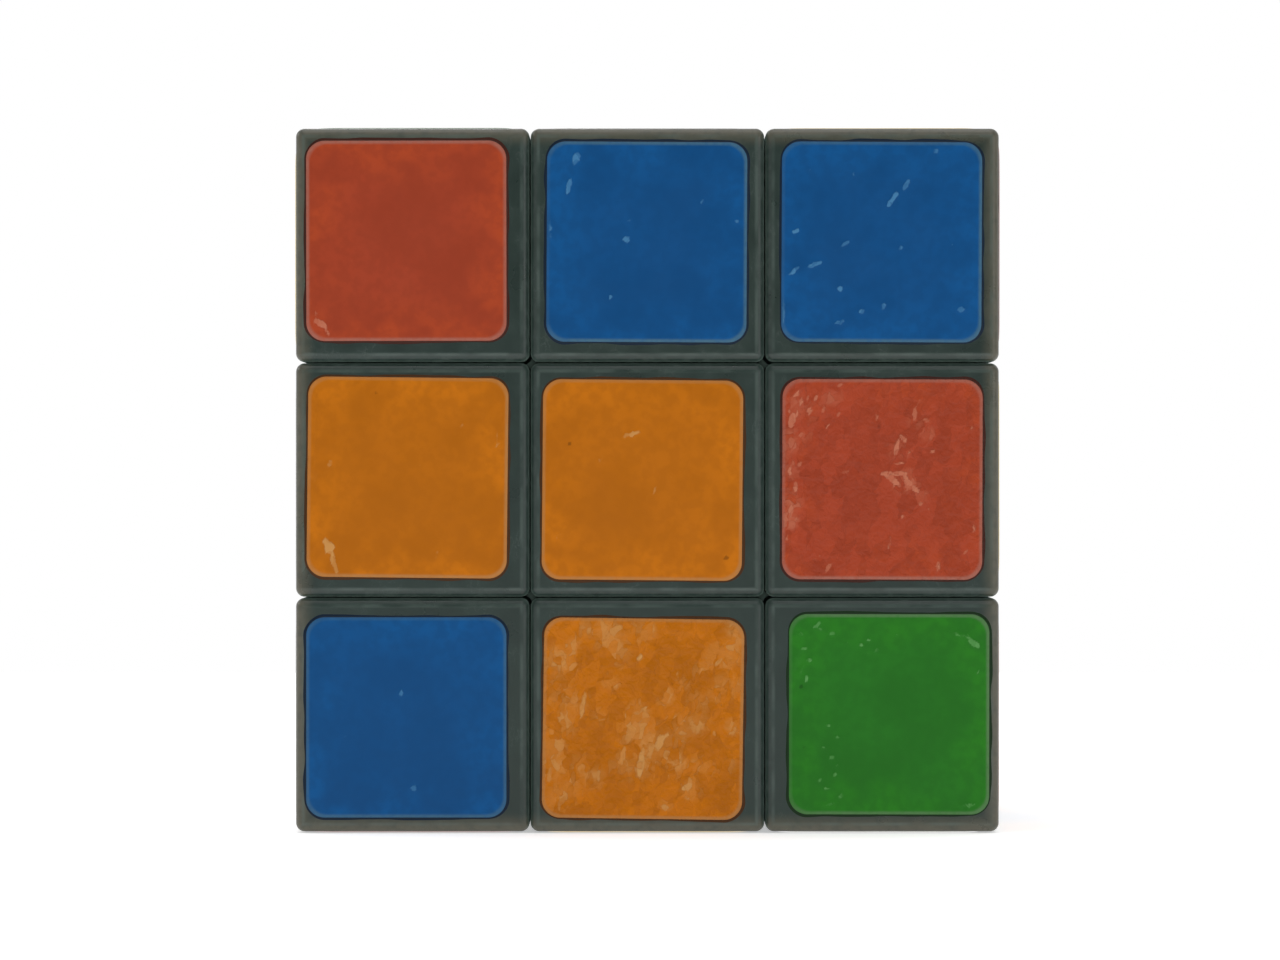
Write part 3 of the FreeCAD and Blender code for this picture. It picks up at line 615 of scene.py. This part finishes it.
# The nine front labels, by (column, row). A shift is to the right and up, and a turn is clockwise.
# A mark is (across, up, length, width, tilt, strength), from the label's middle. It is pale, or dark
# where the strength is negative, and a few pale ones are painted glints. Wrinkles are (strength, tilt,
# spacing, patches), and a patch is (across, up, radius). A rim is how strong the cut edge's own tone
# and its painted highlight are at the left, right, bottom and top.
FRONT = {
    (-1, 1): {
        "shift": (-0.5, 0.35), "turn": -0.1, "rim": (0.9, 0.8, 0.9, 1.0),
        "wrinkles": (0.05, 60, 1.4, [(-6, 0, 5), (6, -3, 5)]),
        "marks": [
            (-6.9, -6.7, 1.3, 0.5, -35, 0.8), (-6.4, -7.3, 0.9, 0.3, -60, 0.7),
            (-7.3, -5.9, 0.6, 0.3, -80, 0.4),
        ],
    },
    (0, 1): {
        "shift": (-0.05, 0.25), "turn": 0.3, "rim": (0.2, 0.9, 1.0, 0.9),
        "wrinkles": (0.04, 80, 1.0, [(-8, 1, 2.5)]),
        "marks": [
            (-5.7, 6.8, 1.2, 0.65, 70, 0.75), (-6.4, 4.3, 1.5, 0.35, 75, 0.75),
            (-7.8, 0.9, 1.6, 0.4, 90, 0.4), (-1.6, 0.2, 0.5, 0.45, 0, 0.65),
            (-1.4, 1.7, 0.6, 0.35, 30, 0.35), (-2.9, -4.4, 0.8, 0.35, 80, 0.55),
            (7.2, 1.7, 0.45, 0.4, 0, 0.6), (5.0, 6.3, 0.9, 0.45, 80, 0.3), (4.2, 3.0, 1.3, 0.3, 50, 0.28),
        ],
    },
    (1, 1): {
        "shift": (-0.05, 0.25), "turn": 0.3, "rim": (0.2, 0.9, 0.9, 0.6),
        "wrinkles": (0.04, 70, 1.0, [(-7, -3, 3)]),
        "marks": [
            (1.9, 4.5, 1.1, 0.32, 62, 0.8), (0.9, 3.5, 1.3, 0.42, 55, 1.0),
            (-1.0, 1.7, 0.9, 0.25, 58, 0.35), (-7.0, 0.8, 0.7, 0.38, 20, 0.8),
            (-3.0, -0.2, 0.9, 0.3, 35, 0.7), (-5.3, -1.8, 1.2, 0.3, 20, 0.7),
            (-7.1, -2.4, 1.1, 0.38, 40, 0.7), (-3.4, -3.8, 0.5, 0.45, 0, 0.9),
            (1.6, -0.4, 0.45, 0.3, 60, 0.5), (0.2, -5.2, 0.6, 0.42, 70, 0.8),
            (-1.6, -5.6, 0.5, 0.42, 30, 0.65), (-3.4, -6.5, 0.8, 0.32, 20, 0.6),
            (6.5, -5.4, 0.55, 0.45, 0, 0.8), (5.7, -0.3, 0.45, 0.28, 80, 0.4),
            (-7.9, -5.6, 2.0, 0.3, 90, 0.5), (-5.9, 5.8, 0.45, 0.4, 0, 0.35),
            (-2.2, 5.5, 0.45, 0.35, 0, 0.35), (4.3, 7.4, 0.5, 0.4, 0, 0.4),
        ],
    },
    (-1, 0): {
        "shift": (-0.4, 0.2), "turn": 0.6, "rim": (0.7, 1.0, 1.0, 0.7),
        "wrinkles": (0.13, 65, 1.3, [(-7.5, 0, 3), (7.5, 2, 3), (0, -7, 4)]),
        "marks": [
            (-6.3, -5.7, 1.5, 0.8, -68, 0.8), (-5.9, -6.9, 1.9, 0.45, -70, 0.85),
            (4.4, 4.3, 0.5, 0.25, 50, 0.5), (7.2, 3.0, 1.5, 0.35, 90, 0.35),
            (-6.3, 1.0, 0.8, 0.3, 70, 0.35), (2.4, -6.2, 1.0, 0.3, 75, 0.35),
            (-2.6, 6.8, 0.4, 0.3, 0, -0.6),
        ],
    },
    (0, 0): {
        "shift": (-0.4, 0.0), "turn": 0.5, "rim": (0.7, 0.9, 0.9, 0.7),
        "wrinkles": (0.12, 60, 1.3, [(-7, -2, 3), (3, 5, 4), (6, -5, 3.5)]),
        "marks": [
            # the first two marks are painted glints, pale streaks where light catches the vinyl
            (-1.0, 3.7, 1.5, 0.35, 18, 0.6), (1.0, -0.8, 0.9, 0.3, 70, 0.5),
            (-3.4, 1.6, 0.8, 0.3, 80, 0.35), (-5.9, 2.9, 0.45, 0.35, 60, -0.8),
            (6.8, -6.2, 0.35, 0.35, 0, -0.9), (-6.8, -4.6, 0.7, 0.3, 60, 0.4),
        ],
    },
    (1, 0): {
        "shift": (0.0, 0.05), "turn": 0.2, "rim": (0.6, 0.8, 1.0, 0.8),
        "wrinkles": (
            0.58, 72, 0.9,
            [
                (-7.5, 3, 1.3), (-6.9, 5.8, 1.3), (-7.5, -1.6, 1.2), (1.4, 2.4, 1.0), (2.0, -0.2, 1.2),
                (2.8, 4.8, 1.0), (-5.5, 5.3, 1.2), (-4.1, 6.7, 0.9), (-7.4, 0.6, 1.0), (-7.5, -3.3, 0.8),
                (3.5, 3.6, 0.8), (3.2, -1.5, 0.8), (-6.0, 3.8, 0.8),
            ],
        ),
        "marks": [
            (-6.6, 6.2, 0.9, 0.45, 70, 0.95), (-5.4, 6.6, 0.7, 0.35, 60, 0.9),
            (-3.5, 7.6, 0.7, 0.3, 30, 0.6), (-7.0, 6.9, 0.6, 0.35, 40, 0.8),
            (-5.9, 5.5, 0.7, 0.3, 80, 0.75), (-4.4, 4.3, 0.6, 0.3, 70, 0.65),
            (-7.3, 4.8, 1.0, 0.5, 80, 0.85), (-7.4, 3.0, 0.9, 0.45, 90, 0.75),
            (-6.6, 3.6, 0.5, 0.3, 70, 0.65), (-6.1, 6.5, 0.6, 0.3, 65, 0.8), (-6.9, 5.3, 0.5, 0.3, 80, 0.8),
            (-4.8, 5.6, 0.6, 0.3, 70, 0.6), (-3.6, 5.2, 0.5, 0.25, 60, 0.55),
            (-5.2, 4.9, 0.5, 0.3, 60, -0.5), (-0.3, 4.3, 0.5, 0.3, 80, -0.5),
            (-7.5, 0.7, 1.0, 0.45, 80, 0.75), (-6.7, 1.2, 0.6, 0.3, 40, 0.5),
            (-7.0, -0.6, 0.9, 0.4, 90, 0.7), (-7.4, -2.6, 1.0, 0.4, 80, 0.8),
            (-7.0, -3.3, 0.7, 0.3, 60, 0.5), (-7.7, -4.8, 0.7, 0.3, 90, 0.5),
            (-0.5, 5.0, 0.8, 0.3, 85, 0.55), (2.6, 5.2, 1.3, 0.42, 85, 0.7), (2.9, 6.3, 0.7, 0.3, 70, 0.5),
            (3.5, 4.8, 0.6, 0.35, 0, 0.6), (1.7, 3.3, 1.0, 0.38, -50, 0.65), (1.2, 2.6, 1.4, 0.42, 80, 0.8),
            (2.2, 2.2, 0.6, 0.3, 40, 0.5), (1.3, 1.3, 0.9, 0.3, 5, 0.7), (1.0, 0.5, 2.1, 0.42, 0, 0.85),
            (0.8, 0.0, 1.8, 0.4, -38, 0.85), (2.0, 0.0, 1.0, 0.42, -60, 0.85),
            (2.7, -0.8, 0.7, 0.38, -45, 0.75), (3.1, -1.9, 0.6, 0.35, 0, 0.55),
            (3.8, -2.4, 0.6, 0.35, -45, 0.55), (4.0, 2.3, 0.5, 0.3, 0, 0.5), (-3.0, 0.6, 0.7, 0.5, 20, 0.5),
            (0.6, -5.1, 1.1, 0.4, 80, 0.5), (1.7, -3.0, 0.5, 0.35, 0, 0.5),
            (-4.4, -7.2, 0.9, 0.45, 60, 0.7), (4.5, -7.1, 1.0, 0.35, 85, 0.7),
            (6.8, -5.8, 0.7, 0.35, 40, 0.45), (7.4, -3.9, 0.8, 0.35, 90, 0.45),
            (-5.2, -6.3, 0.6, 0.3, 30, 0.4), (7.2, 4.0, 0.8, 0.3, 80, 0.4),
        ],
    },
    (-1, -1): {
        "shift": (-0.5, -0.2), "turn": 0.0, "rim": (0.5, 0.6, 0.8, 0.4),
        "wrinkles": (0.06, 20, 1.5, [(-7, 4, 3)]),
        "marks": [
            (-0.4, 2.0, 0.5, 0.38, 80, 0.65), (0.6, -5.8, 0.6, 0.42, -50, 0.8),
            (-5.8, 3.3, 0.9, 0.35, 20, 0.3),
        ],
    },
    (0, -1): {
        "shift": (-0.35, -0.3), "turn": 0.8, "rim": (0.7, 0.9, 1.0, 0.8),
        "wrinkles": (
            0.7, 78, 1.05,
            [
                (-5.7, 6.0, 0.8), (-4.7, 7.3, 0.9), (-2.9, 6.8, 1.5), (-2.0, 5.5, 1.4), (-0.2, 7.2, 1.2),
                (-7.1, 4.5, 1.5), (-7.4, 3.2, 1.4), (-7.2, 1.5, 1.5), (-6.8, -0.5, 1.6), (-5.0, 0.9, 1.0),
                (-3.5, 0.0, 0.8), (-0.3, 0.5, 1.0), (-0.8, -0.9, 1.4), (1.0, -2.1, 1.9), (0.0, -4.0, 1.3),
                (-1.4, -3.9, 1.3), (3.0, -0.9, 1.4), (4.2, -0.3, 1.3), (4.5, 1.6, 1.2), (5.5, 2.0, 1.1),
                (6.3, 2.8, 1.4), (5.7, 4.7, 1.3), (6.6, 5.2, 1.2), (7.3, 7.1, 1.1), (4.7, 4.0, 0.9),
                (3.0, 2.9, 0.8), (4.8, -3.5, 1.1), (4.0, -5.5, 1.0), (2.7, -3.5, 1.1), (2.0, -7.0, 0.7),
                (-5.4, -3.5, 1.2), (-6.9, -4.2, 1.5), (-3.8, -4.6, 1.1), (-6.5, -5.8, 1.4),
                (-7.3, -6.6, 1.5), (6.9, -3.4, 0.9), (1.8, 1.9, 0.9), (7.4, -0.5, 0.8), (-2.6, 3.0, 0.7),
                (-7.4, -2.4, 1.4),
            ],
        ),
        "marks": [
            (-5.9, 6.0, 0.8, 0.5, 60, 0.5), (-4.9, 1.0, 2.2, 0.4, 82, 0.7),
            (-3.5, -0.2, 1.2, 0.35, 10, 0.5), (-0.3, 0.6, 1.4, 0.4, 30, 0.6),
            (1.4, -1.9, 1.8, 1.0, 60, 0.7), (-0.1, -3.6, 2.4, 0.5, 82, 0.7),
            (-1.6, -3.0, 1.6, 0.4, 80, 0.6), (3.6, -5.5, 1.1, 0.5, 30, 0.8), (1.9, -7.1, 0.7, 0.5, 0, 0.8),
            (6.1, 4.7, 1.0, 0.4, 50, 0.6), (2.7, 3.3, 1.0, 0.35, 80, 0.4), (-0.4, 4.9, 0.8, 0.4, 50, 0.6),
            (2.7, -3.5, 0.9, 0.5, 10, 0.5), (-7.5, -4.6, 1.3, 0.5, 85, 0.5), (5.8, -1.1, 0.5, 0.3, 80, 0.6),
        ],
    },
    (1, -1): {
        "shift": (0.55, 0.05), "turn": 0.1, "rim": (0.25, 1.0, 0.9, 1.0),
        "wrinkles": (0.14, 75, 0.9, [(-7, 4, 2.4), (-5, -4, 3), (6.5, 6, 2)]),
        "marks": [
            (-5.9, 7.2, 0.8, 0.35, 40, 0.6), (-4.6, 6.5, 0.5, 0.3, 0, 0.4),
            (-6.9, 5.3, 0.6, 0.35, 20, 0.65), (-7.1, 3.5, 1.2, 0.35, 75, 0.4),
            (-1.6, 6.0, 0.6, 0.3, 0, 0.35), (5.8, 6.4, 1.9, 0.25, -20, 0.5), (6.9, 5.7, 1.1, 0.4, -35, 0.8),
            (6.6, 6.1, 1.0, 0.2, -50, 0.5), (-4.6, -1.4, 0.5, 0.35, 0, 0.35),
            (-4.2, -4.2, 0.5, 0.35, 30, 0.35), (-5.0, -7.3, 1.4, 0.3, 10, 0.35),
            (6.3, -7.3, 1.6, 0.4, 5, 0.4), (-4.9, -0.9, 0.5, 0.35, 20, 0.45),
            (-5.3, -2.7, 0.5, 0.3, 0, 0.45), (-4.4, -4.9, 0.5, 0.35, 60, 0.5),
            (-5.0, -6.0, 0.6, 0.3, 10, 0.4), (-2.3, 5.6, 0.6, 0.3, 0, 0.5), (-6.4, 4.4, 0.5, 0.35, 50, 0.6),
            (-7.1, 2.2, 0.4, 0.35, 0, -0.8), (-6.9, -2.7, 0.45, 0.3, 30, -0.7),
            (-5.6, 6.9, 0.4, 0.3, 0, 0.45), (-7.2, 6.5, 0.4, 0.3, 40, 0.5), (-6.7, 2.9, 0.6, 0.4, 90, 0.5),
            (-1.0, 5.2, 0.5, 0.35, 60, 0.35), (-3.4, 5.8, 0.4, 0.3, 0, 0.35),
            (-4.2, -1.9, 0.5, 0.4, 30, 0.5), (-4.6, -3.5, 0.4, 0.3, 0, 0.4),
            (-5.6, -5.3, 0.5, 0.35, 80, 0.45), (-3.9, -6.6, 0.5, 0.3, 20, 0.4),
            (5.2, -6.9, 0.7, 0.35, 10, 0.35), (7.1, 3.4, 0.5, 0.3, 80, 0.35), (0.6, 6.4, 0.4, 0.3, 0, 0.3),
        ],
    },
}
FRONT_CELLS = 104       # rows of points across a label
OTHER_CELLS = 56
MARKS_WITHIN = 7.4      # how far from a label's middle its marks may lie, each way
PATCHES_WITHIN = 7.0
dice = np.random.default_rng(57)


def worn_by_chance():
    """A look, as in FRONT, for a label that isn't on the front."""
    marks = []
    for _ in range(dice.integers(2, 9)):
        across, up = dice.uniform(-MARKS_WITHIN, MARKS_WITHIN, 2)
        length, width = dice.uniform(0.5, 1.6), dice.uniform(0.35, 0.55)
        marks.append((across, up, length, width, dice.uniform(0, 180), dice.uniform(0.35, 0.85)))
    if dice.random() < 0.2:
        # a crease across one of the lower corners
        side, tilt = dice.choice([-1, 1]), dice.uniform(40, 65)
        marks.append((6.4 * side, -6.4, 2.2, 0.5, tilt * side, 0.9))
    patches = [(*dice.uniform(-PATCHES_WITHIN, PATCHES_WITHIN, 2), dice.uniform(2, 4.5)) for _ in range(4)]
    strength = dice.choice([0.05, 0.15, 0.4, 0.7], p=[0.4, 0.35, 0.15, 0.1])
    return {
        "shift": tuple(np.clip(dice.normal(0, 0.25, 2), -0.5, 0.5)),
        "turn": dice.normal(0, 0.6),
        "rim": tuple(dice.uniform(0.2, 1.0, 4)),
        "wrinkles": (strength, dice.uniform(40, 140), dice.uniform(0.9, 1.4), patches),
        "marks": marks,
    }


def make_labels():
    """All 54 labels. Each stands in for its share of its piece's CAD node of labels."""
    for seed, ((place, way), colour) in enumerate(sorted(scrambled().items())):
        side = next(name for name, direction in DIRECTIONS.items() if direction == way)
        front = FRONT[(place[0], place[2])] if side == "front" else None
        look = front or worn_by_chance()
        body = body_name(place)
        name = f"label_{body}_{side}"
        cells = FRONT_CELLS if front else OTHER_CELLS
        mesh = label_mesh(name, cells, look["marks"], look["wrinkles"], look["rim"], 10 * seed)
        label = bpy.data.objects.new(name, mesh)
        bpy.context.scene.collection.objects.link(label)
        label.matrix_world = label_frame(place, side, look["shift"], look["turn"])
        label.data.materials.append(vinyls[colour])
        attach(label, body)
        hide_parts(("label_" if body.startswith("center") else "labels_") + body)


# ---------------------------------------------------------------- plastic and metal pieces


def paint_nodes():
    """Gives every CAD node that stays its material."""
    finishes = {"core": pale_plastic, "tension_screws_and_springs": steel}
    for name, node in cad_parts.items():
        if name.startswith("label"):
            continue
        node.data.materials.clear()
        node.data.materials.append(finishes.get(name, black))


# ---------------------------------------------------------------- stage, light and camera

WHITE = (1.0, 1.0, 1.0)
VIEW_WIDTH = 103.5      # what the camera takes in at the cube's front face
LENS = 200.0
SENSOR = 36.0
AIM = (-0.6, 0.0)       # how far the camera stands to the right of the cube's middle, and above it
FLOOR_REACH = 0.45      # metres from the middle, each way
FLOOR_GLOW = 0.45       # the floor is lit from below as well, like a light table
FRONT_LIGHT = 0.12      # the studio is dark where it faces the front of the cube,
SIDE_LIGHT = 0.5        # pale at the sides and above,
BACK_LIGHT = 1.0        # and white behind
FRONT_TO_SIDE = (-0.92, -0.72)      # where one goes over into the next, as the y of a direction
SIDE_TO_BACK = (-0.2, 0.8)

# Each square light: its place and its side in metres, how strong it is, and whether it is mirrored in
# what is glossy. A light of strength 1 would light a white card fully, on its own.
LIGHTS = {
    "overhead": ((0.0, -0.05, 0.6), 0.5, 0.3, True),
    "camera_flash": ((AIM[0] * MM, -0.6, AIM[1] * MM), 0.02, 0.4, False),
    "front_high": ((0.12, -0.5, 0.42), 0.25, 0.05, True),
    "front_right": ((0.5, -0.42, 0.1), 0.2, 0.05, True),
    "back_high": ((-0.1, 0.55, 0.35), 0.2, 0.1, True),
    "left_high": ((-0.58, 0.1, 0.28), 0.2, 0.1, True),
}


def softbox(name, place, side, strength, mirrored):
    """One of LIGHTS, facing the cube."""
    place = Vector(place)
    data = bpy.data.lights.new(name, "AREA")
    data.size = side
    data.energy = strength * (math.pi * place.length) ** 2
    light = bpy.data.objects.new(name, data)
    light.location = place
    light.rotation_mode = "QUATERNION"
    light.rotation_quaternion = place.to_track_quat("Z", "Y")
    light.visible_camera = False
    light.visible_glossy = mirrored
    bpy.context.scene.collection.objects.link(light)


def make_stage():
    """A floor of white paper."""
    mesh = bpy.data.meshes.new("floor")
    corners = [(x * FLOOR_REACH, y * FLOOR_REACH, FLOOR) for x, y in ((-1, -1), (1, -1), (1, 1), (-1, 1))]
    mesh.from_pydata(corners, [], [(0, 1, 2, 3)])
    floor = bpy.data.objects.new("floor", mesh)
    bpy.context.scene.collection.objects.link(floor)
    s = new_material("white_paper")
    fibre = s.noise(s.add("TexCoord", {}, output=3), 900.0)
    paper = s.mix(s.step(fibre, 0.3, 0.7), rgb(WHITE, 0.88), rgb(WHITE, 0.91))
    s.finish(Emission_Color=rgb(WHITE), Emission_Strength=FLOOR_GLOW)
    mesh.materials.append(s.finish(Base_Color=paper, Roughness=0.9))


def make_light():
    """A studio with softboxes, and a small light at the camera, which lights what it sees in the seams."""
    world = bpy.data.worlds.new("studio")
    bpy.context.scene.world = world
    s = Shader(world)
    behind = s.axis(s.add("TexCoord", {}, output=0), 1)
    from_front = s.step(behind, *FRONT_TO_SIDE, FRONT_LIGHT, SIDE_LIGHT)
    light = s.math("ADD", from_front, s.step(behind, *SIDE_TO_BACK, 0.0, BACK_LIGHT - SIDE_LIGHT))
    seen_by_camera = s.add("LightPath", {}, output=0)
    strength = s.math("MAXIMUM", light, seen_by_camera)
    background = s.tree.nodes["Background"]
    s.give(background.inputs["Color"], rgb(WHITE))
    s.give(background.inputs["Strength"], strength)
    for name, settings in LIGHTS.items():
        softbox(name, *settings)


def make_camera():
    """A camera straight in front of the cube, as in the photo."""
    data = bpy.data.cameras.new("camera")
    data.lens = LENS
    data.sensor_width = SENSOR
    camera = bpy.data.objects.new("camera", data)
    away = LENS / SENSOR * VIEW_WIDTH * MM
    camera.location = (AIM[0] * MM, cad_low.y - away, AIM[1] * MM)
    camera.rotation_euler = (math.pi / 2, 0, 0)
    bpy.context.scene.collection.objects.link(camera)
    bpy.context.scene.camera = camera


make_camera()
make_stage()
make_light()
paint_nodes()
make_labels()
bpy.context.scene.view_settings.view_transform = "Standard"
